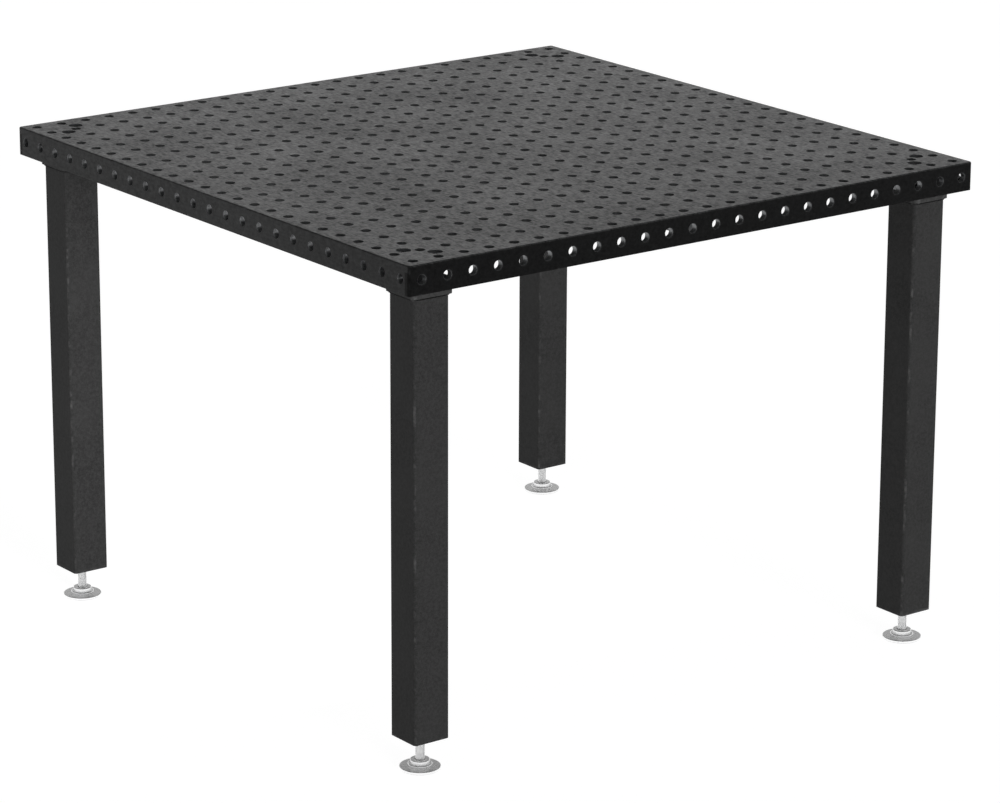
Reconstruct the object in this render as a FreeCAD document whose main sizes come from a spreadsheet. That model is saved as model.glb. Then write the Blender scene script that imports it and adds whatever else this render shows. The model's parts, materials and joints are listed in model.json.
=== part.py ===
import FreeCAD, Part
import os
import Sketcher

# Perforated welding table on four bolted-on square legs with swivelling, height-adjustable feet.
# Millimetres.  Origin: centre of the table on the floor.  +X runs along the front edge,
# +Y from the front to the back, +Z up.

doc = FreeCAD.newDocument("WeldingTable")

DIMENSIONS = {
    # worktop box
    "top_side": 1200.0,
    "top_thickness": 12.0,
    "box_height": 50.0,
    "skirt_thickness": 12.0,
    "corner_radius": 6.0,
    "edge_radius": 2.5,
    "rib_thickness": 10.0,
    "pad_thickness": 10.0,
    "pad_reach": 107.5,
    # fixture bores, in the top and in the skirt
    "bore_radius": 8.0,
    "bore_chamfer": 0.75,
    "bore_pitch": 50.0,
    "bore_count": 24.0,
    # countersunk leg screws
    "screw_far": 88.0,
    "screw_near": 52.0,
    "screw_radius": 6.0,
    "screw_play": 0.5,
    "screw_head_radius": 12.0,
    "screw_head_sink": 3.0,
    "screw_head_play": 0.5,
    "screw_socket_across": 8.0,
    "screw_socket_depth": 5.0,
    "screw_length": 60.0,
    "spacer_radius": 12.5,
    # legs
    "leg_inset": 67.5,
    "tube_side": 70.0,
    "tube_wall": 4.0,
    "tube_corner": 6.0,
    "tube_inner_corner": 2.5,
    "tube_base_height": 56.0,
    "head_side": 80.0,
    "head_thickness": 16.0,
    "head_corner": 8.0,
    "weld_width": 3.5,
    "weld_height": 3.6,
    "base_plate_side": 61.6,
    "base_plate_thickness": 15.0,
    "base_plate_recess": 1.0,
    # levelling feet
    "table_height": 880.0,
    "spindle_radius": 7.95,
    "spindle_bore_radius": 8.0,
    "spindle_shoulder": 15.2,
    "spindle_top": 100.0,
    "spindle_tip_chamfer": 1.5,
    "neck_radius": 4.5,
    "swivel_height": 10.5,
    "ball_radius": 6.5,
    "ball_flat": 4.6,
    "running_gap": 0.05,
    "seat_radius": 10.0,
    "seat_base": 3.0,
    "seat_top": 13.5,
    "disc_radius": 34.8,
    "disc_rim": 4.8,
    "disc_rim_round": 1.2,
    "disc_heel": 0.6,
    "boss_radius": 20.5,
    "boss_top": 9.5,
    "boss_round": 1.6,
    "cavity_floor": 2.0,
    "ring_radius": 16.6,
    "ring_top": 16.3,
    "ring_top_radius": 15.8,
    "ring_bevel": 0.8,
    "ring_bore_radius": 8.9,
}

dims = doc.addObject("Spreadsheet::Sheet", "Dims")
for row, (alias, value) in enumerate(DIMENSIONS.items(), start=1):
    dims.set("A%d" % row, alias)
    dims.set("B%d" % row, str(value))
    dims.setAlias("B%d" % row, alias)
doc.recompute()

subparts = []


def value_of(expression):
    """Number that an expression gives with the sheet's present values."""
    result = dims.evalExpression(str(expression))
    return float(getattr(result, "Value", result))


def origin_plane(body, role):
    for feature in body.Origin.OriginFeatures:
        if feature.Role == role:
            return feature
    raise ValueError(role)


def new_body(label):
    body = doc.addObject("PartDesign::Body", label)
    body.Label = label
    return body


def new_sketch(body, name, role="XY_Plane", offset=None):
    """Sketch on an origin plane of the body, moved by expressions for its attachment offset."""
    sketch = body.newObject("Sketcher::SketchObject", name)
    sketch.AttachmentSupport = [(origin_plane(body, role), "")]
    sketch.MapMode = "FlatFace"
    for axis, expression in (offset or {}).items():
        sketch.setExpression("AttachmentOffset.Base." + axis, expression)
    doc.recompute()
    return sketch


def fix_point(sketch, geometry, end, x_expression, y_expression):
    """Tie one end point of a sketch element to coordinates given as expressions."""
    for kind, axis_index, expression in (("DistanceX", -2, x_expression), ("DistanceY", -1, y_expression)):
        value = value_of(expression)
        if abs(value) < 1e-9:
            sketch.addConstraint(Sketcher.Constraint("PointOnObject", geometry, end, axis_index))
            continue
        index = sketch.addConstraint(Sketcher.Constraint(kind, -1, 1, geometry, end, value))
        sketch.setExpression("Constraints[%d]" % index, str(expression))


def add_polygon(sketch, corners):
    """Closed outline through corners given as pairs of expressions."""
    points = [FreeCAD.Vector(value_of(x), value_of(y), 0) for x, y in corners]
    first = sketch.GeometryCount
    count = len(points)
    for i in range(count):
        sketch.addGeometry(Part.LineSegment(points[i], points[(i + 1) % count]), False)
    for i in range(count):
        following = first + (i + 1) % count
        sketch.addConstraint(Sketcher.Constraint("Coincident", first + i, 2, following, 1))
    for i, (x, y) in enumerate(corners):
        fix_point(sketch, first + i, 1, x, y)


def add_rectangle(sketch, half_x, half_y):
    """Rectangle centred on the sketch origin."""
    left, right = "-(%s)" % half_x, half_x
    low, high = "-(%s)" % half_y, half_y
    add_polygon(sketch, [(left, low), (right, low), (right, high), (left, high)])


def add_circle(sketch, x, y, radius):
    centre = FreeCAD.Vector(value_of(x), value_of(y), 0)
    index = sketch.addGeometry(Part.Circle(centre, FreeCAD.Vector(0, 0, 1), value_of(radius)), False)
    constraint = sketch.addConstraint(Sketcher.Constraint("Radius", index, value_of(radius)))
    sketch.setExpression("Constraints[%d]" % constraint, str(radius))
    fix_point(sketch, index, 3, x, y)


def pad(body, sketch, name, length):
    feature = body.newObject("PartDesign::Pad", name)
    feature.Profile = sketch
    feature.setExpression("Length", length)
    doc.recompute()
    return feature


def pocket(body, sketch, name, depth, upward=True):
    feature = body.newObject("PartDesign::Pocket", name)
    feature.Profile = sketch
    feature.Reversed = upward
    feature.setExpression("Length", depth)
    doc.recompute()
    return feature


def turn(body, sketch, name, kind="Revolution"):
    """Revolve a half profile about the sketch's vertical axis, adding or removing material."""
    feature = body.newObject("PartDesign::" + kind, name)
    feature.Profile = sketch
    feature.ReferenceAxis = (sketch, ["V_Axis"])
    feature.Angle = 360.0
    doc.recompute()
    return feature


def round_edges(body, name, radius, keep, kind="Fillet"):
    """Fillet or chamfer the edges of the body's tip for which keep(edge) is true."""
    base = body.Tip
    edges = ["Edge%d" % (i + 1) for i, edge in enumerate(base.Shape.Edges) if keep(edge)]
    feature = body.newObject("PartDesign::" + kind, name)
    feature.Base = (base, edges)
    feature.setExpression("Radius" if kind == "Fillet" else "Size", radius)
    doc.recompute()
    return feature


def is_vertical(edge):
    start, end = edge.Vertexes[0].Point, edge.Vertexes[-1].Point
    return abs(start.x - end.x) < 1e-6 and abs(start.y - end.y) < 1e-6 and abs(start.z - end.z) > 1e-6


def lies_at(edge, height):
    box = edge.BoundBox
    return abs(box.ZMin - height) < 1e-6 and abs(box.ZMax - height) < 1e-6


def ring_at(height, radius):
    """Test for the circular edge of this height and radius about the body's axis."""
    def keep(edge):
        return lies_at(edge, height) and abs(edge.BoundBox.XMax - radius) < 1e-6
    return keep


def corner_edges(half_x, half_y):
    """Test for the four upright edges of a box of these half sizes."""
    def keep(edge):
        point = edge.Vertexes[0].Point
        on_corner = abs(abs(point.x) - half_x) < 1e-6 and abs(abs(point.y) - half_y) < 1e-6
        return is_vertical(edge) and on_corner
    return keep


def bore_profile(sketch, radius, chamfer, depth):
    """Half section of a through bore with a chamfer at both mouths, from 0 to depth."""
    add_polygon(sketch, [
        ("0", "0"),
        ("%s+%s" % (radius, chamfer), "0"),
        (radius, chamfer),
        (radius, "%s-%s" % (depth, chamfer)),
        ("%s+%s" % (radius, chamfer), depth),
        ("0", depth),
    ])


def linear(body, axis_role):
    """Pattern of the fixture bores along one origin axis, at the bore pitch."""
    pattern = body.newObject("PartDesign::LinearPattern", "bores_along_" + axis_role[0].lower())
    pattern.Direction = (origin_plane(body, axis_role), [""])
    pattern.setExpression("Length", "Dims.bore_pitch*(Dims.bore_count-1)")
    pattern.setExpression("Occurrences", "Dims.bore_count")
    return pattern


# ------------------------------------------------------------------ worktop box

UNDERSIDE = value_of("Dims.table_height-Dims.top_thickness")
BOX_BASE = value_of("Dims.table_height-Dims.box_height")
SKIRT_HEIGHT = "(Dims.box_height-Dims.top_thickness)"
FIRST_BORE = "-(Dims.bore_pitch*(Dims.bore_count-1)/2)"


def make_top_plate():
    """Square plate with rounded corners and edges, a grid of bores and two
    countersunk screw holes at each corner."""
    body = new_body("top_plate")
    half = "Dims.top_side/2"
    outline = new_sketch(body, "top_outline")
    add_rectangle(outline, half, half)
    pad(body, outline, "top_pad", "Dims.top_thickness")
    side = value_of(half)
    round_edges(body, "top_corners", "Dims.corner_radius", corner_edges(side, side))
    thickness = value_of("Dims.top_thickness")
    round_edges(body, "top_edges", "Dims.edge_radius", lambda edge: lies_at(edge, thickness))

    section = new_sketch(body, "bore_section", "XZ_Plane", {"x": FIRST_BORE, "z": "-" + FIRST_BORE})
    bore_profile(section, "Dims.bore_radius", "Dims.bore_chamfer", "Dims.top_thickness")
    bore = turn(body, section, "first_bore", "Groove")
    grid = body.newObject("PartDesign::MultiTransform", "bore_grid")
    grid.Originals = [bore]
    grid.Transformations = [linear(body, "X_Axis"), linear(body, "Y_Axis")]
    body.Tip = grid
    doc.recompute()

    far, near = "(Dims.top_side/2-Dims.screw_far)", "(Dims.top_side/2-Dims.screw_near)"
    for index, (x, y) in enumerate(((far, near), (near, far))):
        hole = new_sketch(body, "screw_section_%d" % index, "XZ_Plane", {"x": "-" + x, "z": y})
        shank = "(Dims.screw_radius+Dims.screw_play)"
        mouth = "(Dims.screw_head_radius+Dims.screw_head_play)"
        cone_top = "(Dims.top_thickness-Dims.screw_head_sink+Dims.screw_head_play)"
        cone_base = "(%s-%s+%s)" % (cone_top, mouth, shank)
        add_polygon(hole, [
            ("0", "0"), (shank, "0"), (shank, cone_base), (mouth, cone_top),
            (mouth, "Dims.top_thickness"), ("0", "Dims.top_thickness"),
        ])
        cut = turn(body, hole, "screw_hole_%d" % index, "Groove")
        around = body.newObject("PartDesign::PolarPattern", "screw_holes_%d" % index)
        around.Originals = [cut]
        around.Axis = (origin_plane(body, "Z_Axis"), [""])
        around.Angle = 360.0
        around.Occurrences = 4
        body.Tip = around
        doc.recompute()
    body.Placement.Base.z = UNDERSIDE
    return body


def make_skirt(label, length, rounded, turn_deg):
    """Side plate standing under one edge of the top, with one row of bores.  It is drawn as the
    front plate and turned about the table's centre into its place."""
    body = new_body(label)
    outline = new_sketch(body, label + "_outline")
    inner = "(Dims.top_side/2-Dims.skirt_thickness)"
    half = length + "/2"
    add_polygon(outline, [
        ("-" + half, "-Dims.top_side/2"), (half, "-Dims.top_side/2"),
        (half, "-" + inner), ("-" + half, "-" + inner),
    ])
    pad(body, outline, label + "_pad", SKIRT_HEIGHT)
    if rounded:
        outer = -value_of("Dims.top_side/2")
        round_edges(body, label + "_corners", "Dims.corner_radius",
                    lambda edge: is_vertical(edge) and abs(edge.Vertexes[0].Point.y - outer) < 1e-6)
    section = new_sketch(body, label + "_bore_section", "XY_Plane", {
        "x": FIRST_BORE, "y": "-Dims.top_side/2", "z": "Dims.box_height/2",
    })
    bore_profile(section, "Dims.bore_radius", "Dims.bore_chamfer", "Dims.skirt_thickness")
    bore = turn(body, section, label + "_first_bore", "Groove")
    row = linear(body, "X_Axis")
    row.Originals = [bore]
    body.Tip = row
    doc.recompute()
    rotation = FreeCAD.Rotation(FreeCAD.Vector(0, 0, 1), turn_deg)
    body.Placement = FreeCAD.Placement(FreeCAD.Vector(0, 0, BOX_BASE), rotation)
    return body


def make_rib(label, x_low, x_high, y_low, y_high):
    """Flat bar on edge under the top plate."""
    body = new_body(label)
    outline = new_sketch(body, label + "_outline")
    add_polygon(outline, [(x_low, y_low), (x_high, y_low), (x_high, y_high), (x_low, y_high)])
    pad(body, outline, label + "_pad", SKIRT_HEIGHT)
    body.Placement.Base.z = BOX_BASE
    return body


FULL_LENGTH = "Dims.top_side"
SHORT_LENGTH = "(Dims.top_side-2*Dims.skirt_thickness)"
INNER_HALF = "(Dims.top_side/2-Dims.skirt_thickness)"
HALF_RIB = "Dims.rib_thickness/2"
subparts += [
    make_top_plate(),
    make_skirt("front_skirt", FULL_LENGTH, True, 0),
    make_skirt("back_skirt", FULL_LENGTH, True, 180),
    make_skirt("right_skirt", SHORT_LENGTH, False, 90),
    make_skirt("left_skirt", SHORT_LENGTH, False, 270),
    make_rib("centre_rib", "-" + HALF_RIB, HALF_RIB, "-" + INNER_HALF, INNER_HALF),
    make_rib("left_rib", "-" + INNER_HALF, "-" + HALF_RIB, "-" + HALF_RIB, HALF_RIB),
    make_rib("right_rib", HALF_RIB, INNER_HALF, "-" + HALF_RIB, HALF_RIB),
]

# ------------------------------------------------------------------ legs and feet
# Each leg's pieces are drawn about the leg's own upright axis, for the front left corner, and
# turned in quarter turns about the table's centre to the other corners.

LEG_CENTRE = -value_of("Dims.top_side/2-Dims.leg_inset")
CORNERS = [("front_left", 0), ("front_right", 90), ("back_right", 180), ("back_left", 270)]
# screw positions from the leg's axis; the pair lies across the corner's diagonal
SCREW_OUT = "(Dims.screw_far-Dims.leg_inset)"
SCREW_IN = "(Dims.leg_inset-Dims.screw_near)"
SCREWS = [(SCREW_OUT, "-" + SCREW_IN), ("-" + SCREW_IN, SCREW_OUT)]
HEAD_BASE = value_of("Dims.table_height-Dims.box_height-Dims.head_thickness")
TUBE_LENGTH = ("(Dims.table_height-Dims.box_height-Dims.head_thickness"
               "-Dims.tube_base_height)")


def set_on_leg(feature, turn_deg, height):
    """Move a piece drawn about the leg's axis to its corner and height."""
    quarter = FreeCAD.Rotation(FreeCAD.Vector(0, 0, 1), turn_deg)
    foot_point = FreeCAD.Vector(LEG_CENTRE, LEG_CENTRE, height)
    feature.Placement = FreeCAD.Placement(quarter.multVec(foot_point), quarter)


def make_square_bar(label, half, corner_radius, length):
    """Square bar with rounded upright corners, standing on the body's base plane."""
    body = new_body(label)
    outline = new_sketch(body, label + "_outline")
    add_rectangle(outline, half, half)
    pad(body, outline, label + "_pad", length)
    side = value_of(half)
    round_edges(body, label + "_corners", corner_radius, corner_edges(side, side))
    return body


def make_corner_pad(corner):
    """Plate welded into the corner of the box, flush with its lower edge, that the leg bears on."""
    label = corner + "_corner_pad"
    body = new_body(label)
    outline = new_sketch(body, label + "_outline")
    near = "(Dims.skirt_thickness-Dims.leg_inset)"
    far = "(Dims.pad_reach-Dims.leg_inset)"
    add_polygon(outline, [(near, near), (far, near), (far, far), (near, far)])
    pad(body, outline, label + "_pad", "Dims.pad_thickness")
    holes = new_sketch(body, label + "_holes")
    for x, y in SCREWS:
        add_circle(holes, x, y, "Dims.screw_radius+Dims.screw_play")
    pocket(body, holes, label + "_pocket", "Dims.pad_thickness")
    return body


def make_head_plate(corner):
    """Square plate that closes the tube's top, with two tapped holes for the leg screws."""
    label = corner + "_head_plate"
    body = make_square_bar(label, "Dims.head_side/2", "Dims.head_corner", "Dims.head_thickness")
    holes = new_sketch(body, label + "_holes")
    for x, y in SCREWS:
        add_circle(holes, x, y, "Dims.screw_radius+Dims.running_gap")
    pocket(body, holes, label + "_pocket", "Dims.head_thickness")
    return body


def make_leg_tube(corner):
    """Square hollow section with rounded outer and inner corners."""
    body = new_body(corner + "_leg_tube")
    half = "Dims.tube_side/2"
    hollow = "(Dims.tube_side/2-Dims.tube_wall)"
    outline = new_sketch(body, corner + "_tube_outline")
    add_rectangle(outline, half, half)
    add_rectangle(outline, hollow, hollow)
    pad(body, outline, corner + "_tube_pad", TUBE_LENGTH)
    outer = value_of(half)
    inner = value_of(hollow)
    round_edges(body, corner + "_tube_corners", "Dims.tube_corner", corner_edges(outer, outer))
    round_edges(body, corner + "_tube_inside", "Dims.tube_inner_corner", corner_edges(inner, inner))
    return body


def make_head_weld(corner):
    """Fillet weld around the tube, under the head plate."""
    label = corner + "_head_weld"
    bead = make_square_bar(label + "_bead", "(Dims.tube_side/2+Dims.weld_width)",
                           "Dims.tube_corner+Dims.weld_width", "Dims.weld_height")
    round_edges(bead, label + "_slope", "Dims.weld_width-0.1", lambda edge: lies_at(edge, 0), "Chamfer")
    core = make_square_bar(label + "_core", "Dims.tube_side/2", "Dims.tube_corner", "Dims.weld_height")
    return combine("Cut", label, bead, core)


def make_base_plate(corner):
    """Plate welded inside the tube's lower end, tapped for the foot's spindle."""
    label = corner + "_base_plate"
    body = make_square_bar(label, "Dims.base_plate_side/2", "Dims.tube_inner_corner",
                           "Dims.base_plate_thickness")
    section = new_sketch(body, label + "_bore_section", "XZ_Plane")
    bore_profile(section, "Dims.spindle_bore_radius", "Dims.bore_chamfer", "Dims.base_plate_thickness")
    turn(body, section, label + "_tapping", "Groove")
    return body


def make_revolved(label, profile):
    """Body of revolution about the leg's axis from a half section of (radius, height) corners."""
    body = new_body(label)
    sketch = new_sketch(body, label + "_section", "XZ_Plane")
    add_polygon(sketch, profile)
    turn(body, sketch, label + "_turned")
    return body


def make_spindle(corner):
    """Threaded spindle, drawn at its outside diameter, with a thinner neck that holds the ball."""
    label = corner + "_spindle"
    return make_revolved(label, [
        ("0", "Dims.swivel_height-Dims.ball_flat"),
        ("Dims.neck_radius", "Dims.swivel_height-Dims.ball_flat"),
        ("Dims.neck_radius", "Dims.spindle_shoulder"),
        ("Dims.spindle_radius", "Dims.spindle_shoulder"),
        ("Dims.spindle_radius", "Dims.spindle_top-Dims.spindle_tip_chamfer"),
        ("Dims.spindle_radius-Dims.spindle_tip_chamfer", "Dims.spindle_top"),
        ("0", "Dims.spindle_top"),
    ])


def add_sphere(name, radius):
    """Sphere about the swivel point."""
    sphere = doc.addObject("Part::Sphere", name)
    sphere.setExpression("Radius", radius)
    sphere.setExpression("Placement.Base.z", "Dims.swivel_height")
    return sphere


def add_cylinder(name, radius, base, length, x="0", y="0"):
    cylinder = doc.addObject("Part::Cylinder", name)
    cylinder.setExpression("Radius", radius)
    cylinder.setExpression("Height", length)
    cylinder.setExpression("Placement.Base.x", x)
    cylinder.setExpression("Placement.Base.y", y)
    cylinder.setExpression("Placement.Base.z", base)
    return cylinder


def combine(kind, name, base, tool):
    """Part boolean of two objects: Cut, Fuse or Common."""
    result = doc.addObject("Part::" + kind, name)
    result.Base = base
    result.Tool = tool
    doc.recompute()
    return result


def make_ball(corner):
    """Ball with flats above and below and a bore for the spindle's neck."""
    label = corner + "_ball"
    sphere = add_sphere(label + "_sphere", "Dims.ball_radius")
    slab = add_cylinder(label + "_slab", "Dims.ball_radius+1", "Dims.swivel_height-Dims.ball_flat",
                        "2*Dims.ball_flat")
    flats = combine("Common", label + "_flats", sphere, slab)
    bore = add_cylinder(label + "_bore", "Dims.neck_radius+Dims.running_gap",
                        "Dims.swivel_height-Dims.ball_radius", "2*Dims.ball_radius")
    return combine("Cut", label, flats, bore)


def make_ball_seat(corner):
    """Cup between ball and foot: spherical inside and outside, about the swivel point."""
    label = corner + "_ball_seat"
    shell = add_sphere(label + "_shell", "Dims.seat_radius")
    slab = add_cylinder(label + "_slab", "Dims.seat_radius+1", "Dims.seat_base",
                        "Dims.seat_top-Dims.seat_base")
    cup = combine("Common", label + "_cup", shell, slab)
    hollow = add_sphere(label + "_hollow", "Dims.ball_radius+Dims.running_gap")
    return combine("Cut", label, cup, hollow)


def make_foot_disc(corner):
    """Round foot plate with a raised boss, hollowed for the ball seat."""
    label = corner + "_foot_disc"
    blank = make_revolved(label + "_blank", [
        ("0", "0"),
        ("Dims.disc_radius-Dims.disc_heel", "0"),
        ("Dims.disc_radius", "Dims.disc_heel"),
        ("Dims.disc_radius", "Dims.disc_rim"),
        ("Dims.boss_radius", "Dims.disc_rim"),
        ("Dims.boss_radius", "Dims.boss_top"),
        ("0", "Dims.boss_top"),
    ])
    for name, size, height, radius in (
            ("_rim", "Dims.disc_rim_round", "Dims.disc_rim", "Dims.disc_radius"),
            ("_boss_edge", "Dims.boss_round", "Dims.boss_top", "Dims.boss_radius")):
        round_edges(blank, label + name, size, ring_at(value_of(height), value_of(radius)))
    sphere = add_sphere(label + "_sphere", "Dims.seat_radius+Dims.running_gap")
    slab = add_cylinder(label + "_slab", "Dims.seat_radius+1", "Dims.cavity_floor",
                        "Dims.boss_top-Dims.cavity_floor+1")
    cavity = combine("Common", label + "_cavity", sphere, slab)
    return combine("Cut", label, blank, cavity)


def make_hub_ring(corner):
    """Ring on the boss that keeps the ball seat in, bored wider than the spindle so that it can
    tilt."""
    label = corner + "_hub_ring"
    blank = make_revolved(label + "_blank", [
        ("Dims.ring_bore_radius", "Dims.boss_top"),
        ("Dims.ring_radius", "Dims.boss_top"),
        ("Dims.ring_radius", "Dims.ring_top-Dims.ring_bevel"),
        ("Dims.ring_top_radius", "Dims.ring_top"),
        ("Dims.ring_bore_radius", "Dims.ring_top"),
    ])
    sphere = add_sphere(label + "_sphere", "Dims.seat_radius+Dims.running_gap")
    return combine("Cut", label, blank, sphere)


def make_leg_screws(corner):
    """The two countersunk socket screws of one leg, in one group."""
    screws = []
    for index, (x, y) in enumerate(SCREWS):
        label = "%s_leg_screw_%d" % (corner, index)
        head = doc.addObject("Part::Cone", label + "_head")
        head.setExpression("Radius1", "Dims.screw_radius")
        head.setExpression("Radius2", "Dims.screw_head_radius")
        head.setExpression("Height", "Dims.screw_head_radius-Dims.screw_radius")
        head.setExpression("Placement.Base.x", x)
        head.setExpression("Placement.Base.y", y)
        head.setExpression("Placement.Base.z", "Dims.screw_length-(Dims.screw_head_radius-Dims.screw_radius)")
        shank = add_cylinder(label + "_shank", "Dims.screw_radius", "0", "Dims.screw_length-1", x, y)
        whole = combine("Fuse", label + "_whole", head, shank)
        socket = doc.addObject("Part::Prism", label + "_socket")
        socket.Polygon = 6
        socket.setExpression("Circumradius", "Dims.screw_socket_across/sqrt(3)")
        socket.setExpression("Height", "Dims.screw_socket_depth+1")
        socket.setExpression("Placement.Base.x", x)
        socket.setExpression("Placement.Base.y", y)
        socket.setExpression("Placement.Base.z", "Dims.screw_length-Dims.screw_socket_depth")
        screws.append(combine("Cut", label, whole, socket))
    return group(corner + "_leg_screws", screws)


def make_leg_spacers(corner):
    """Sleeves round the leg screws, between the top plate and the corner pad."""
    sleeves = []
    for index, (x, y) in enumerate(SCREWS):
        label = "%s_leg_spacer_%d" % (corner, index)
        length = "Dims.box_height-Dims.top_thickness-Dims.pad_thickness"
        outer = add_cylinder(label + "_outer", "Dims.spacer_radius", "0", length, x, y)
        inner = add_cylinder(label + "_inner", "Dims.screw_radius+Dims.screw_play", "0", length, x, y)
        sleeves.append(combine("Cut", label, outer, inner))
    return group(corner + "_leg_spacers", sleeves)


def group(label, members):
    """Several equal solids as one sub-part."""
    compound = doc.addObject("Part::Compound", label)
    compound.Links = members
    doc.recompute()
    return compound


PAD_BASE = value_of("Dims.table_height-Dims.box_height")
SPACER_BASE = value_of("Dims.table_height-Dims.box_height+Dims.pad_thickness")
SCREW_BASE = value_of("Dims.table_height-Dims.screw_head_sink-Dims.screw_length")
END_HEIGHT = value_of("Dims.tube_base_height+Dims.base_plate_recess")
WELD_BASE = HEAD_BASE - value_of("Dims.weld_height")
LEG_PIECES = [
    (make_leg_screws, SCREW_BASE),
    (make_leg_spacers, SPACER_BASE),
    (make_corner_pad, PAD_BASE),
    (make_head_plate, HEAD_BASE),
    (make_head_weld, WELD_BASE),
    (make_leg_tube, value_of("Dims.tube_base_height")),
    (make_base_plate, END_HEIGHT),
    (make_spindle, 0.0),
    (make_ball, 0.0),
    (make_ball_seat, 0.0),
    (make_foot_disc, 0.0),
    (make_hub_ring, 0.0),
]
for corner, turn_deg in CORNERS:
    for make, height in LEG_PIECES:
        piece = make(corner)
        set_on_leg(piece, turn_deg, height)
        subparts.append(piece)

# ------------------------------------------------------------------ checks and files

doc.recompute()
for item in doc.Objects:
    if "Invalid" in item.State or "Error" in item.State:
        raise RuntimeError("%s did not build: %s" % (item.Name, item.State))
for piece in subparts:
    if piece.Shape.isNull() or not piece.Shape.isValid():
        raise RuntimeError("%s has no valid shape" % piece.Label)
os.makedirs("parts", exist_ok=True)
for piece in subparts:
    piece.Shape.exportStep(os.path.join("parts", piece.Label + ".step"))
    print("%-28s %9.1f cm3  %d solid(s)" % (piece.Label, piece.Shape.Volume / 1000, len(piece.Shape.Solids)))
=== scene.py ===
"""Welding table: studio, materials and the finely shaped pieces, in the CAD model's frame (metres)."""
import json
import math
import random

import bpy
from mathutils import Matrix, Vector


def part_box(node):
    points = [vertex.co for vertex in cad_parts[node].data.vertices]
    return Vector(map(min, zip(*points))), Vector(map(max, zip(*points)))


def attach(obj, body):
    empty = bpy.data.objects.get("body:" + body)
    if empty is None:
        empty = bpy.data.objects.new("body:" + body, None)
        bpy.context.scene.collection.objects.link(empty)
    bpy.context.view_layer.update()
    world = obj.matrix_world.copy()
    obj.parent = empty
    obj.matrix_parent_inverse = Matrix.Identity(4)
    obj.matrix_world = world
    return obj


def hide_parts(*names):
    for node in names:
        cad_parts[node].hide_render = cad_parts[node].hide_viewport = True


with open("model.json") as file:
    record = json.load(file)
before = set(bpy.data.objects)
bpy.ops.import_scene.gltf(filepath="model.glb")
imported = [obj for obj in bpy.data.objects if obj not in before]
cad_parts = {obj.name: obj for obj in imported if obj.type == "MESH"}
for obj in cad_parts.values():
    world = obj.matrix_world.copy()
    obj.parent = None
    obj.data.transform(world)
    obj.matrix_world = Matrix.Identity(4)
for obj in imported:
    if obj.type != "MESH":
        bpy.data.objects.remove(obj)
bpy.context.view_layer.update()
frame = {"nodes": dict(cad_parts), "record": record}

CORNERS = ("front_left", "front_right", "back_right", "back_left")


def new_object(name, data):
    piece = bpy.data.objects.new(name, data)
    bpy.context.scene.collection.objects.link(piece)
    return piece


# ------------------------------------------------------------------ camera
LENS_MM = 151.2
SENSOR_MM = 36.0
CAMERA_AT = Vector((-4.3024, -5.7801, 2.5785))
LOOK_AT = Vector((0.0128, -0.0211, 0.4094))
ROLL_DEG = 0.215

camera_data = bpy.data.cameras.new("camera")
camera_data.lens = LENS_MM
camera_data.sensor_width = SENSOR_MM
camera = new_object("camera", camera_data)
camera.location = CAMERA_AT
aim = (LOOK_AT - CAMERA_AT).to_track_quat("-Z", "Y").to_matrix()
roll = Matrix.Rotation(math.radians(ROLL_DEG), 3, "Z")
camera.rotation_euler = (aim @ roll).to_euler()
bpy.context.scene.camera = camera
bpy.context.scene.view_settings.view_transform = "Standard"


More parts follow.
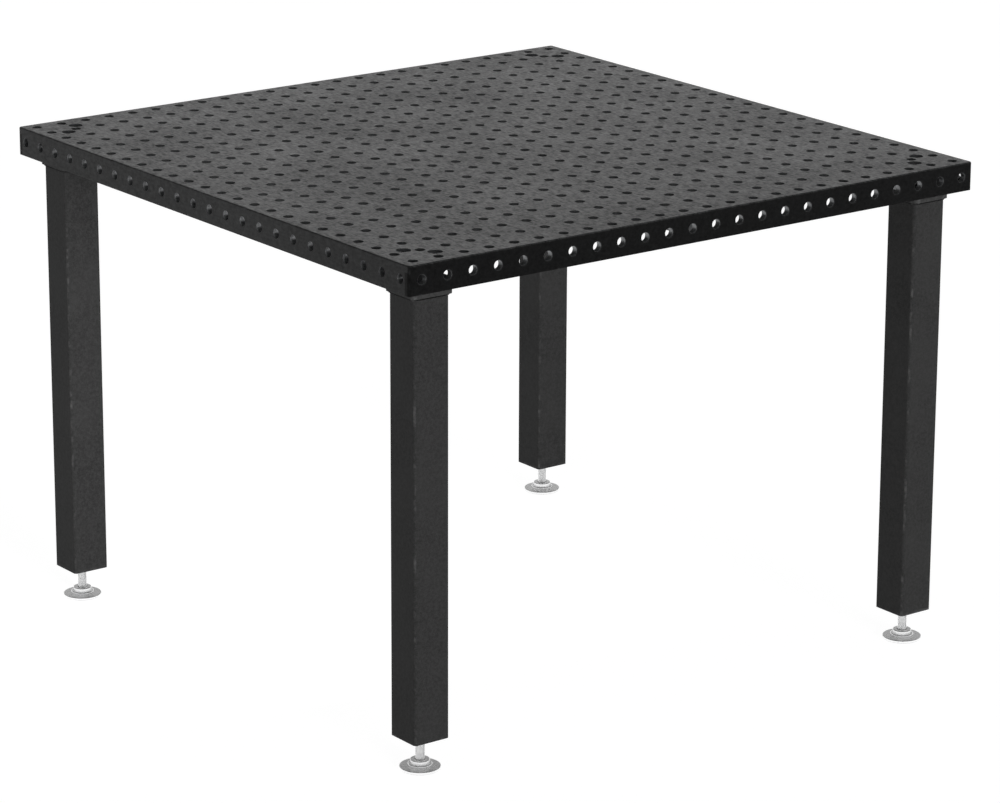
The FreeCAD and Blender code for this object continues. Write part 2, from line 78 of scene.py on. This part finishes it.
class Nodes:
    """Short way to write a node tree: add a node with its inputs, link by passing sockets."""

    def __init__(self, tree):
        self.tree = tree
        tree.nodes.clear()

    def put(self, socket, value):
        if isinstance(value, bpy.types.NodeSocket):
            self.tree.links.new(value, socket)
        else:
            socket.default_value = value

    def add(self, kind, inputs=None, **settings):
        node = self.tree.nodes.new(kind)
        for key, value in settings.items():
            setattr(node, key, value)
        for key, value in (inputs or {}).items():
            self.put(node.inputs[key], value)
        return node

    def noise(self, vector, scale, detail=2.0, roughness=0.5):
        return self.add("ShaderNodeTexNoise", {
            "Vector": vector, "Scale": scale, "Detail": detail, "Roughness": roughness,
        }).outputs["Fac"]

    def spread(self, value, low, high, to_low, to_high):
        """Map value from low..high to to_low..to_high, clamped."""
        return self.add("ShaderNodeMapRange", {
            "Value": value, "From Min": low, "From Max": high, "To Min": to_low, "To Max": to_high,
        }).outputs["Result"]

    def rise(self, value, zero_at, one_at):
        """0 at zero_at, 1 at one_at, clamped; one_at may be the lower of the two."""
        return self.spread(value, zero_at, one_at, 0.0, 1.0)

    def math(self, operation, a, b=0.0):
        return self.add("ShaderNodeMath", {0: a, 1: b}, operation=operation).outputs[0]

    def times(self, a, b):
        return self.math("MULTIPLY", a, b)

    def minus(self, a, b):
        return self.math("SUBTRACT", a, b)

    def size(self, value):
        return self.math("ABSOLUTE", value)

    def most(self, first, *others):
        for other in others:
            first = self.math("MAXIMUM", first, other)
        return first

    def blend(self, *weighted):
        """Sum of (value, weight) pairs."""
        total = None
        for value, weight in weighted:
            part = self.times(value, weight)
            total = part if total is None else self.math("ADD", total, part)
        return total

    def axes(self, vector):
        return self.add("ShaderNodeSeparateXYZ", {"Vector": vector}).outputs

    def stretch(self, vector, scale):
        return self.add("ShaderNodeMapping", {"Vector": vector, "Scale": scale}).outputs["Vector"]

    def length(self, a, b):
        joined = self.add("ShaderNodeCombineXYZ", {"X": a, "Y": b}).outputs["Vector"]
        return self.add("ShaderNodeVectorMath", {0: joined}, operation="LENGTH").outputs["Value"]

    def mix(self, factor, a, b):
        """Colour going from a to b."""
        node = self.add("ShaderNodeMix", data_type="RGBA")
        for index, value in ((0, factor), (6, a), (7, b)):
            self.put(node.inputs[index], value)
        return node.outputs[2]

    def fade(self, factor, a, b):
        """Plain number going from a to b."""
        node = self.add("ShaderNodeMix", data_type="FLOAT")
        for index, value in ((0, factor), (2, a), (3, b)):
            self.put(node.inputs[index], value)
        return node.outputs[0]

    def bump(self, height, strength, distance, normal=None):
        inputs = {"Height": height, "Strength": strength, "Distance": distance}
        if normal is not None:
            inputs["Normal"] = normal
        return self.add("ShaderNodeBump", inputs).outputs["Normal"]

    def surface(self, inputs):
        shader = self.add("ShaderNodeBsdfPrincipled", inputs)
        self.add("ShaderNodeOutputMaterial", {"Surface": shader.outputs["BSDF"]})


def grey(level, tint=0.0):
    """Linear grey with a slight blue tint."""
    return (level * (1 - tint), level, level * (1 + tint), 1.0)


def new_material(name):
    material = bpy.data.materials.new(name)
    material.use_nodes = True
    nodes = Nodes(material.node_tree)
    place = nodes.add("ShaderNodeTexCoord").outputs["Object"]
    return material, nodes, place


# ------------------------------------------------------------------ studio
# the sky's brightness falls from the horizon to a wall, and from the wall to the zenith; the
# bands are given in the height of the direction looked in, 0 level and 1 straight up
HORIZON_LEVEL = 1.38
WALL_LEVEL = 0.26
ZENITH_LEVEL = 0.10
LOW_BAND = (0.165, 0.31)
HIGH_BAND = (0.42, 0.85)
FLOOR_GLOW = 0.96
FLOOR_ALBEDO = 0.14
FLOOR_HALF = 40.0
SUN_STRENGTH = 7.2
SUN_SOFTNESS_DEG = 24.0
SUN_FROM = Vector((-0.12, -0.95, 0.01))
FILL_WATTS = 6.0
FILL_SIZE = (0.12, 0.50)
FILL_AT = Vector((-0.70, -0.25, 0.42))
FILL_TOWARDS = Vector((0.18, 1.0, 0.20))

world = bpy.data.worlds.new("studio")
world.use_nodes = True
bpy.context.scene.world = world
world_nodes = Nodes(world.node_tree)
sky_place = world_nodes.add("ShaderNodeTexCoord").outputs["Generated"]
sky_height = world_nodes.axes(sky_place)["Z"]
low_sky = world_nodes.spread(sky_height, *LOW_BAND, HORIZON_LEVEL - WALL_LEVEL, 0.0)
high_sky = world_nodes.spread(sky_height, *HIGH_BAND, WALL_LEVEL, ZENITH_LEVEL)
background = world_nodes.add("ShaderNodeBackground", {
    "Color": (1, 1, 1, 1), "Strength": world_nodes.math("ADD", low_sky, high_sky),
})
world_nodes.add("ShaderNodeOutputWorld", {"Surface": background.outputs[0]})

floor_mesh = bpy.data.meshes.new("floor")
floor_mesh.from_pydata(
    [(-FLOOR_HALF, -FLOOR_HALF, 0), (FLOOR_HALF, -FLOOR_HALF, 0), (FLOOR_HALF, FLOOR_HALF, 0),
     (-FLOOR_HALF, FLOOR_HALF, 0)], [], [(0, 1, 2, 3)])
floor = new_object("floor", floor_mesh)
floor_material, floor_nodes, _ = new_material("floor_paper")
paper = floor_nodes.add("ShaderNodeBsdfPrincipled", {
    "Base Color": grey(FLOOR_ALBEDO), "Roughness": 0.9, "Specular IOR Level": 0.0,
    "Emission Color": grey(1.0), "Emission Strength": FLOOR_GLOW,
})
# from below, the floor lets the view through to the underside of the table
from_below = floor_nodes.add("ShaderNodeNewGeometry").outputs["Backfacing"]
see_through = floor_nodes.add("ShaderNodeBsdfTransparent")
either = floor_nodes.add("ShaderNodeMixShader", {
    0: from_below, 1: paper.outputs[0], 2: see_through.outputs[0],
})
floor_nodes.add("ShaderNodeOutputMaterial", {"Surface": either.outputs[0]})
floor_mesh.materials.append(floor_material)

sun_data = bpy.data.lights.new("key", "SUN")
sun_data.energy = SUN_STRENGTH
sun_data.angle = math.radians(SUN_SOFTNESS_DEG)
sun = new_object("key", sun_data)
sun.rotation_euler = SUN_FROM.to_track_quat("Z", "Y").to_euler()
sun.visible_glossy = False

# upright fill light beside the table, for the front face of the back left leg
fill_data = bpy.data.lights.new("fill", "AREA")
fill_data.shape = "RECTANGLE"
fill_data.size, fill_data.size_y = FILL_SIZE
fill_data.energy = FILL_WATTS
fill = new_object("fill", fill_data)
fill.location = FILL_AT
fill.rotation_euler = FILL_TOWARDS.to_track_quat("-Z", "Y").to_euler()
fill.visible_camera = False
fill.visible_glossy = False


# ------------------------------------------------------------------ materials
PITCH = 0.050
BORE_RADIUS = 0.0080
MOUTH_RADIUS = 0.00875
RIM_WEAR = 0.0008
SURFACE_DEPTH = 0.0004
TOP_LOW, TOP_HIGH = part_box("top_plate")
HALF = TOP_HIGH.x
SKIRT_LOW, SKIRT_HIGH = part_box("front_skirt")
SIDE_BORE_HEIGHT = (SKIRT_LOW.z + TOP_HIGH.z) / 2
FOOT_LOW, FOOT_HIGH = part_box("back_right_foot_disc")
LEG_OFFSET = (FOOT_LOW.x + FOOT_HIGH.x) / 2


def to_grid(nodes, along):
    """Distance from the nearest bore's axis, along one axis of the grid."""
    return nodes.minus(PITCH / 2, nodes.math("PINGPONG", along, PITCH / 2))


def screw_hole_mask(nodes, axes):
    """1 inside the top plate's holes: below the surface, above the underside, off the outline."""
    skin = SURFACE_DEPTH / 2
    below = nodes.rise(axes["Z"], TOP_HIGH.z - skin, TOP_HIGH.z - SURFACE_DEPTH)
    above = nodes.rise(axes["Z"], TOP_LOW.z + skin, TOP_LOW.z + SURFACE_DEPTH)
    hole = nodes.times(below, above)
    for key in "XY":
        hole = nodes.times(hole, nodes.rise(nodes.size(axes[key]), HALF - 0.010, HALF - 0.012))
    return hole


def bore_masks(nodes, place, face):
    """(wall, chamfer, rim): a bore's wall, its chamfered mouth, and the mouth with a worn rim."""
    axes = nodes.axes(place)
    if face == "top":
        u, v = to_grid(nodes, axes["X"]), to_grid(nodes, axes["Y"])
    else:
        u = to_grid(nodes, axes["X" if face == "front" else "Y"])
        v = nodes.minus(axes["Z"], SIDE_BORE_HEIGHT)
    reach = nodes.length(u, v)
    wall = nodes.rise(reach, BORE_RADIUS + 0.00012, BORE_RADIUS + 0.00006)
    mouth = nodes.rise(reach, MOUTH_RADIUS + 0.00010, MOUTH_RADIUS - 0.00005)
    chamfer = nodes.minus(mouth, wall)
    rim = nodes.rise(reach, MOUTH_RADIUS + RIM_WEAR, MOUTH_RADIUS)
    if face == "top":
        wall = nodes.most(wall, nodes.minus(screw_hole_mask(nodes, axes), chamfer))
    return wall, chamfer, rim


def edge_mask(nodes, place):
    """1 on the outer edges of the table's top box, fading inwards."""
    reach, low_reach = 0.0035, 0.0022
    axes = nodes.axes(place)
    near_x, near_y = [
        nodes.rise(nodes.size(axes[key]), HALF - reach, HALF - SURFACE_DEPTH) for key in "XY"]
    high = nodes.rise(axes["Z"], TOP_HIGH.z - reach, TOP_HIGH.z - SURFACE_DEPTH)
    low = nodes.rise(axes["Z"], SKIRT_LOW.z + low_reach, SKIRT_LOW.z)
    upright = nodes.times(near_x, near_y)
    level = nodes.times(nodes.most(near_x, near_y), nodes.most(high, low))
    return nodes.most(upright, level)


# dark and light grey and range of specular level of one steel, toned per face by its direction as
# painted light and shade (top lightest, sides darker, front and back darkest), and the bore walls'
# greys
TONES = {
    "top": {"grey": (0.0050, 0.0150), "shine": (0.094, 0.508), "wall": (0.062, 0.132)},
    "front": {"grey": (0.0010, 0.0024), "shine": (0.040, 0.060), "wall": (0.10, 0.26)},
    "side": {"grey": (0.0030, 0.0065), "shine": (0.090, 0.125), "wall": (0.10, 0.26)},
}


def painted_face_tones(nodes, axes, face):
    """Dark and light grey, low and high specular level, lighter or darker by the face's direction:
    painted light and shade.  The rim of the top is toned like the side plates below it."""
    values = TONES[face]["grey"] + TONES[face]["shine"]
    if face == "top":
        rim_front = nodes.rise(axes["Z"], TOP_HIGH.z - 0.0012, TOP_HIGH.z - 0.0020)
        rim_side = nodes.rise(nodes.size(axes["X"]), HALF - 0.0009, HALF - 0.0004)
        for mask, other in ((rim_front, "front"), (rim_side, "side")):
            rim_values = TONES[other]["grey"] + TONES[other]["shine"]
            values = [nodes.fade(mask, a, b) for a, b in zip(values, rim_values)]
    return values


def plate_steel(face):
    """Nitrided and ground plate: dark, satin, finely marked, with machined bores and edges worn
    here and there."""
    material, nodes, place = new_material("nitrided_steel_" + face)
    marks = nodes.noise(nodes.stretch(place, (210.0, 62.0, 210.0)), 1.0, 4.0, 0.6)
    cross = nodes.noise(nodes.stretch(place, (60.0, 300.0, 300.0)), 1.0, 2.0, 0.5)
    grain = nodes.noise(place, 170.0, 4.0, 0.75)
    blotch = nodes.noise(place, 4.5, 4.0, 0.6)
    speck = nodes.noise(place, 95.0, 2.0, 0.5)
    fine = nodes.blend((marks, 0.42), (cross, 0.14), (grain, 0.44))
    tone = nodes.rise(fine, 0.39, 0.61)
    # the face's tones carry its painted light and shade
    dark, light, dull, bright = painted_face_tones(nodes, nodes.axes(place), face)
    albedo = nodes.times(nodes.fade(tone, dark, light), nodes.spread(blotch, 0.35, 0.65, 0.93, 1.10))
    level = nodes.times(nodes.fade(tone, dull, bright), nodes.spread(speck, 0.3, 0.7, 0.84, 1.16))
    colour = nodes.mix(albedo, (0, 0, 0, 1), (0.98, 1.0, 1.02, 1))
    rough = nodes.math("ADD", nodes.spread(tone, 0, 1, 0.44, 0.30),
                       nodes.spread(blotch, 0.3, 0.7, -0.03, 0.04))

    wall, chamfer, rim = bore_masks(nodes, place, face)
    chatter = nodes.noise(place, 900.0, 2.0, 0.6)
    worn_rim = nodes.times(rim, nodes.spread(chatter, 0.38, 0.62, 0.05, 0.28))
    if face == "top":
        worn_rim = nodes.times(worn_rim, 0.3)
        # painted shade: on the top, the bores' chamfers are made near black and dull
        level = nodes.fade(chamfer, level, 0.02)
        colour = nodes.mix(chamfer, colour, grey(0.0015))
    rubbed = nodes.spread(nodes.noise(place, 70.0, 5.0, 0.7), 0.55, 0.68, 0.0, 0.32)
    bare = nodes.most(worn_rim, nodes.times(edge_mask(nodes, place), rubbed), wall)
    wall_greys = [grey(value, 0.02) for value in TONES[face]["wall"]]
    machined = nodes.mix(nodes.rise(chatter, 0.3, 0.7), *wall_greys)
    metal = nodes.mix(wall, grey(0.085, 0.02), machined)
    nodes.surface({
        "Base Color": nodes.mix(bare, colour, metal), "Metallic": nodes.times(bare, 0.85),
        "Roughness": nodes.fade(bare, rough, 0.38), "Specular IOR Level": level,
        "Normal": nodes.bump(fine, 0.22, 0.0003),
    })
    return material


def inner_steel(name, painted_light_gain=1.0):
    """Plate and bar inside the box: nitrided, unground, with a faint scale."""
    material, nodes, place = new_material(name)
    scale = nodes.noise(place, 45.0, 5.0, 0.65)
    grain = nodes.noise(place, 420.0, 2.0, 0.6)
    both = nodes.blend((scale, 0.5), (grain, 0.5))
    lower_edge = nodes.rise(nodes.axes(place)["Z"], SKIRT_LOW.z + 0.0016, SKIRT_LOW.z)
    worn = nodes.times(lower_edge, nodes.spread(scale, 0.45, 0.6, 0.1, 0.8))
    # a painted_light_gain above 1 makes a lighter copy of this steel: painted light
    dark, light = grey(0.060 * painted_light_gain, 0.02), grey(0.125 * painted_light_gain, 0.03)
    colour = nodes.mix(nodes.rise(both, 0.38, 0.62), dark, light)
    nodes.surface({
        "Base Color": nodes.mix(worn, colour, grey(0.14, 0.02)), "Metallic": nodes.times(worn, 0.5),
        "Roughness": nodes.spread(both, 0.35, 0.65, 0.42, 0.62), "Specular IOR Level": 0.3,
        "Normal": nodes.bump(both, 0.3, 0.0004),
    })
    return material


# how far the rub marks of a leg tube reach: the sum of a point's distances from the tube's axis
# along X and Y, which is largest on an upright corner, and the height above the floor
TUBE_CORNER_RUB = (0.0655, 0.0664)
TUBE_END_RUB = (0.0620, 0.0562)


def powder_coat(name, strength=1.0):
    """Fine-textured black powder coat, rubbed a little on the tubes' corners and near the floor."""
    material, nodes, place = new_material(name)
    pebble = nodes.noise(place, 620.0, 2.0, 0.5)
    orange = nodes.noise(place, 190.0, 2.0, 0.5)
    cloud = nodes.noise(place, 9.0, 3.0, 0.5)
    relief = nodes.blend((pebble, 0.6), (orange, 0.4))
    # a strength above 1 is painted light and one below 1 painted shade, for the head plates' and head
    # welds' copies
    dark, light, dusty = grey(0.0092 * strength), grey(0.0198 * strength), grey(0.0195 * strength)
    colour = nodes.mix(nodes.rise(relief, 0.38, 0.62), dark, light)
    colour = nodes.mix(nodes.spread(cloud, 0.4, 0.7, 0.0, 0.4), colour, dusty)
    axes = nodes.axes(place)
    out_x, out_y = [
        nodes.size(nodes.minus(nodes.size(axes[key]), LEG_OFFSET)) for key in "XY"]
    corner_rub = nodes.rise(nodes.math("ADD", out_x, out_y), *TUBE_CORNER_RUB)
    end_rub = nodes.rise(axes["Z"], *TUBE_END_RUB)
    patch = nodes.rise(nodes.noise(place, 38.0, 5.0, 0.7), 0.50, 0.64)
    worn = nodes.times(nodes.most(corner_rub, end_rub), nodes.times(patch, 0.55))
    rough = nodes.fade(worn, nodes.spread(pebble, 0.3, 0.7, 0.50, 0.68), 0.34)
    nodes.surface({
        "Base Color": nodes.mix(worn, colour, grey(0.055)), "Roughness": rough,
        "Specular IOR Level": 0.07, "Normal": nodes.bump(relief, 0.35, 0.0004),
    })
    return material


def black_oxide():
    """Oiled black oxide of the screws, with turning marks and stains."""
    material, nodes, place = new_material("black_oxide")
    stain = nodes.noise(place, 160.0, 3.0, 0.6)
    turned = nodes.noise(nodes.stretch(place, (90.0, 90.0, 2400.0)), 1.0, 2.0, 0.5)
    both = nodes.blend((stain, 0.6), (turned, 0.4))
    nodes.surface({
        "Base Color": nodes.mix(nodes.rise(both, 0.35, 0.65), grey(0.055, 0.03), grey(0.130, 0.03)),
        "Metallic": 0.55, "Roughness": nodes.spread(both, 0.3, 0.7, 0.34, 0.52),
        "Normal": nodes.bump(both, 0.12, 0.0002),
    })
    return material


# dull and bright grey of the cloudy plating
ZINC_GREYS = {"zinc_plating": (0.92, 0.99), "zinc_thread": (0.84, 0.94)}
# where a foot's upward flat faces start, which are painted darker as painted shade: out from its axis
# and up from the floor for the disc's face, up from the floor for the hub ring's; and where its sole
# ends, down towards the floor
DISC_FACE_RADIUS = (0.0203, 0.0207)
DISC_FACE_HEIGHT = (0.0042, 0.0046)
HUB_RING_TOP = (0.0159, 0.0162)
SOLE = (0.0006, 0.0003)


def zinc(name, ring_scale):
    """Bright zinc plating over turned steel: turning rings about each foot's axis, faint cloud."""
    material, nodes, place = new_material(name)
    axes = nodes.axes(place)
    out_x, out_y = [nodes.minus(nodes.size(axes[key]), LEG_OFFSET) for key in "XY"]
    radius = nodes.length(out_x, out_y)
    cloud = nodes.noise(place, 70.0, 4.0, 0.6)
    spots = nodes.noise(place, 420.0, 3.0, 0.6)
    ring_place = nodes.add("ShaderNodeCombineXYZ", {"X": radius, "Z": axes["Z"]}).outputs["Vector"]
    rings = nodes.noise(ring_place, ring_scale, 2.0, 0.5)
    wear = nodes.spread(nodes.noise(place, 130.0, 4.0, 0.65), 0.58, 0.70, 0.0, 0.5)
    dull, bright = ZINC_GREYS[name]
    colour = nodes.mix(nodes.rise(cloud, 0.3, 0.7), grey(dull, 0.004), grey(bright))
    colour = nodes.mix(wear, colour, grey(dull * 0.78))
    if name == "zinc_plating":
        # painted shade: the upward flat faces of the disc and hub ring get a darker grey
        shaded_disc_face = nodes.times(nodes.rise(radius, *DISC_FACE_RADIUS),
                                nodes.rise(axes["Z"], *DISC_FACE_HEIGHT))
        faces = nodes.most(shaded_disc_face, nodes.rise(axes["Z"], *HUB_RING_TOP))
        colour = nodes.mix(faces, colour, nodes.mix(spots, grey(0.72), grey(0.97)))
        sole = nodes.rise(axes["Z"], *SOLE)
        colour = nodes.mix(sole, colour, nodes.mix(spots, grey(0.10), grey(0.34)))
    rough = nodes.math("ADD", nodes.spread(cloud, 0.3, 0.7, 0.20, 0.30),
                       nodes.spread(rings, 0.3, 0.7, 0, 0.07))
    nodes.surface({
        "Base Color": colour, "Metallic": 1.0, "Roughness": rough,
        "Normal": nodes.bump(spots, 0.05, 0.0001, nodes.bump(rings, 0.16, 0.00008)),
    })
    return material


def bearing_steel():
    """Turned steel of the ball ends: fine scratches round the axis, faint smears."""
    material, nodes, place = new_material("bearing_steel")
    smear = nodes.noise(place, 220.0, 3.0, 0.6)
    scratch = nodes.noise(nodes.stretch(place, (200.0, 200.0, 3000.0)), 1.0, 2.0, 0.5)
    both = nodes.blend((smear, 0.6), (scratch, 0.4))
    nodes.surface({
        "Base Color": nodes.mix(both, grey(0.40), grey(0.56)), "Metallic": 1.0,
        "Roughness": nodes.spread(both, 0.3, 0.7, 0.18, 0.34),
        "Normal": nodes.bump(scratch, 0.1, 0.0001),
    })
    return material


def nylon():
    """Black nylon of the ball seats."""
    material, nodes, place = new_material("nylon")
    grain = nodes.noise(place, 700.0, 2.0, 0.5)
    rub = nodes.noise(place, 150.0, 4.0, 0.6)
    both = nodes.blend((grain, 0.5), (rub, 0.5))
    nodes.surface({
        "Base Color": nodes.mix(both, grey(0.018), grey(0.040)),
        "Roughness": nodes.spread(both, 0.3, 0.7, 0.42, 0.6),
        "Normal": nodes.bump(grain, 0.2, 0.0002),
    })
    return material


FINISHES = {
    "plate_steel": inner_steel("nitrided_steel_inner"),
    "leg_coating": powder_coat("powder_coat"),
    "screw_steel": black_oxide(),
    "zinc_plating": zinc("zinc_plating", 1500.0),
    "bearing_steel": bearing_steel(),
    "seat_plastic": nylon(),
}
# pieces whose finish is not that of their slot
OWN_FINISH = {"top_plate": plate_steel("top")}
# one steel in copies per face: front and back plates the darkest, painted shade; left and right plates
# lighter, painted light
front = plate_steel("front")
side = plate_steel("side")
# painted light: the head plates get the powder coat 1.35 times lighter
lit_head_coat = powder_coat("powder_coat_head", 1.35)
# painted shade: the head weld beads get the powder coat at a tenth of its grey, for the shade under
# the head plate
shaded_weld_coat = powder_coat("powder_coat_weld", 0.10)
# painted light: the corner pads and leg spacers get the inner steel 2.4 times lighter
lit_pad_steel = inner_steel("nitrided_steel_corner", 2.4)
OWN_FINISH.update({"front_skirt": front, "back_skirt": front, "left_skirt": side, "right_skirt": side})
for corner in CORNERS:
    OWN_FINISH[corner + "_head_plate"] = lit_head_coat
    OWN_FINISH[corner + "_corner_pad"] = OWN_FINISH[corner + "_leg_spacers"] = lit_pad_steel
for entry in frame["record"]["subparts"]:
    node = frame["nodes"][entry["node"]]
    node.data.materials.clear()
    node.data.materials.append(OWN_FINISH.get(entry["node"], FINISHES[entry["material_slot"]]))


# ------------------------------------------------------------------ threaded spindles
THREAD_PITCH = 0.0020
THREAD_DEPTH = 0.00122
ROWS_PER_TURN = 8
COLUMNS = 40
NECK_RADIUS = 0.0045
SHOULDER_RISE = 0.0093
TIP_CHAMFER = 0.0016
# at the shoulder the thread runs out from this much below its root
RUN_OUT = 0.0004
# half the crest's width, and the flank's width, as parts of half a pitch
CREST_PART = 0.12
FLANK_PART = 0.72


def ring_of_points(cx, cy, z, radii):
    points = []
    for column, radius in enumerate(radii):
        turn = 2 * math.pi * column / COLUMNS
        points.append((cx + radius * math.cos(turn), cy + radius * math.sin(turn), z))
    return points


def smooth_sides(mesh):
    for polygon in mesh.polygons:
        polygon.use_smooth = len(polygon.vertices) == 4


def spindle_mesh(node):
    """Spindle with its real helical thread, inside the CAD spindle's outline."""
    low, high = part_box(node)
    cx, cy = (low.x + high.x) / 2, (low.y + high.y) / 2
    crest = (high.x - low.x) / 2
    shoulder = low.z + SHOULDER_RISE
    root = crest - THREAD_DEPTH
    points = []
    for z in (low.z, shoulder):
        points += ring_of_points(cx, cy, z, [NECK_RADIUS] * COLUMNS)
    rows = int(round((high.z - shoulder) / THREAD_PITCH * ROWS_PER_TURN))
    step = (high.z - shoulder) / rows
    for row in range(rows + 1):
        z = shoulder + step * row
        limit = min(crest, root - RUN_OUT + (z - shoulder), crest - TIP_CHAMFER + (high.z - z))
        radii = []
        for column in range(COLUMNS):
            phase = (z / THREAD_PITCH - column / COLUMNS) % 1.0
            wave = abs(2 * phase - 1)
            flank = min(1.0, max(0.0, (wave - CREST_PART) / FLANK_PART))
            radii.append(min(limit, crest - THREAD_DEPTH * flank))
        points += ring_of_points(cx, cy, z, radii)
    last = len(points) - COLUMNS
    faces = []
    for a in range(0, last, COLUMNS):
        for column in range(COLUMNS):
            after = (column + 1) % COLUMNS
            faces.append((a + column, a + after, a + COLUMNS + after, a + COLUMNS + column))
    faces.append(tuple(reversed(range(COLUMNS))))
    faces.append(tuple(last + column for column in range(COLUMNS)))
    mesh = bpy.data.meshes.new(node + "_threaded")
    mesh.from_pydata(points, [], faces)
    smooth_sides(mesh)
    return mesh


thread_zinc = zinc("zinc_thread", 900.0)
for corner in CORNERS:
    mesh = spindle_mesh(corner + "_spindle")
    mesh.materials.append(thread_zinc)
    spindle = new_object(corner + "_threaded_spindle", mesh)
    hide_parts(corner + "_spindle")
    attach(spindle, corner + "_thread")


# ------------------------------------------------------------------ weld beads
RIPPLE = 0.0026
POINTS_PER_RIPPLE = 4
BEAD_SPACING = RIPPLE / POINTS_PER_RIPPLE
BEAD_STEPS = 5
# the bead's size goes from 0.81 to 0.99 of its leg along a ripple, with a little chance in it
RIPPLE_MEAN = 0.90
RIPPLE_SWING = 0.09
RIPPLE_CHANCE = (-0.03, 0.01)
# an open bead starts and ends small and grows point by point
END_SIZE = 0.35
END_GROWTH = 0.22
# power below 1: the bead's face is fuller than a round one
BEAD_FULLNESS = 0.8


def bead_mesh(name, path, closed, leg_out, leg_down):
    """Rippled fillet bead.  path is a list of (corner point, unit vector out from the wall); the
    bead fills the corner between the wall and the plate above it."""
    points, faces = [], []
    around = BEAD_STEPS + 2
    for index, (corner_point, outwards) in enumerate(path):
        wave = math.cos(2 * math.pi * index / POINTS_PER_RIPPLE)
        swell = RIPPLE_MEAN + RIPPLE_SWING * wave + random.uniform(*RIPPLE_CHANCE)
        if not closed:
            from_end = min(index, len(path) - 1 - index)
            swell *= min(1.0, END_SIZE + END_GROWTH * from_end)
        points.append(tuple(corner_point))
        for step in range(BEAD_STEPS + 1):
            turn = math.pi / 2 * step / BEAD_STEPS
            out = leg_out * swell * math.cos(turn) ** BEAD_FULLNESS
            down = leg_down * swell * math.sin(turn) ** BEAD_FULLNESS
            points.append(tuple(corner_point + outwards * out - Vector((0, 0, down))))
    spans = len(path) if closed else len(path) - 1
    for span in range(spans):
        a, b = span * around, (span + 1) % len(path) * around
        for step in range(around):
            after = (step + 1) % around
            faces.append((a + step, b + step, b + after, a + after))
    if not closed:
        last = (len(path) - 1) * around
        faces.append(tuple(range(around)))
        faces.append(tuple(reversed(range(last, last + around))))
    mesh = bpy.data.meshes.new(name)
    mesh.from_pydata(points, [], faces)
    smooth_sides(mesh)
    mesh.update()
    return mesh


def place_bead(name, mesh, material):
    mesh.materials.append(material)
    bead = new_object(name, mesh)
    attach(bead, "table")
    return bead


ARC_POINTS = 4


def rounded_square_path(cx, cy, z, half, corner_radius, spacing):
    """Points and outward directions round a square tube."""
    path = []
    straight = half - corner_radius
    centre = Vector((cx, cy, z))
    for quarter in range(4):
        turn = math.pi / 2 * quarter
        out = Vector((math.cos(turn), math.sin(turn), 0))
        along = Vector((-math.sin(turn), math.cos(turn), 0))
        count = int(round(2 * straight / spacing))
        for index in range(count):
            shift = -straight + 2 * straight * index / count
            path.append((centre + out * half + along * shift, out))
        for index in range(ARC_POINTS):
            swing = turn + math.pi / 2 * index / ARC_POINTS
            outwards = Vector((math.cos(swing), math.sin(swing), 0))
            path.append((centre + (out + along) * straight + outwards * corner_radius, outwards))
    return path


random.seed(41)
TUBE_CORNER = 0.006
for corner in CORNERS:
    weld_low, weld_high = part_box(corner + "_head_weld")
    tube_low, tube_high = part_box(corner + "_leg_tube")
    cx, cy = (tube_low.x + tube_high.x) / 2, (tube_low.y + tube_high.y) / 2
    half = (tube_high.x - tube_low.x) / 2
    path = rounded_square_path(cx, cy, weld_high.z, half, TUBE_CORNER, BEAD_SPACING)
    leg_out, leg_down = (weld_high.x - weld_low.x) / 2 - half, weld_high.z - weld_low.z
    mesh = bead_mesh(corner + "_head_bead", path, True, leg_out, leg_down)
    # the bead's coat is the painted-shade copy of the powder coat
    bead = place_bead(corner + "_head_bead", mesh, shaded_weld_coat)
    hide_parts(corner + "_head_weld")

STITCH_LENGTH = 0.050
STITCH_LEG = 0.0035
UNDERSIDE = TOP_LOW.z
bead_steel = inner_steel("nitrided_bead")


def stitch(name, x, y, along, outwards):
    """One short fillet weld in the corner under the top plate, centred on x, y."""
    middle = Vector((x, y, UNDERSIDE))
    count = int(round(STITCH_LENGTH / BEAD_SPACING))
    path = [(middle + along * (STITCH_LENGTH * (index / count - 0.5)), outwards)
            for index in range(count + 1)]
    mesh = bead_mesh(name, path, False, STITCH_LEG, STITCH_LEG)
    place_bead(name, mesh, bead_steel)


INNER = abs(SKIRT_HIGH.y)
RIB_LOW, RIB_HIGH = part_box("centre_rib")
X_AXIS, Y_AXIS = Vector((1, 0, 0)), Vector((0, 1, 0))
STITCH_AT = (-0.425, -0.225, 0.225, 0.425)
for index, shift in enumerate(STITCH_AT):
    tag = str(index)
    stitch("stitch_front_" + tag, shift, -INNER, X_AXIS, Y_AXIS)
    stitch("stitch_back_" + tag, shift, INNER, X_AXIS, -Y_AXIS)
    stitch("stitch_left_" + tag, -INNER, shift, Y_AXIS, X_AXIS)
    stitch("stitch_right_" + tag, INNER, shift, Y_AXIS, -X_AXIS)
    stitch("stitch_rib_left_" + tag, RIB_LOW.x, shift, Y_AXIS, -X_AXIS)
    stitch("stitch_rib_right_" + tag, RIB_HIGH.x, shift, Y_AXIS, X_AXIS)
for rib in ("left_rib", "right_rib"):
    low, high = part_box(rib)
    for part, fraction in enumerate((0.25, 0.75)):
        shift = low.x + (high.x - low.x) * fraction
        stitch("stitch_%s_front_%d" % (rib, part), shift, low.y, X_AXIS, -Y_AXIS)
        stitch("stitch_%s_back_%d" % (rib, part), shift, high.y, X_AXIS, Y_AXIS)
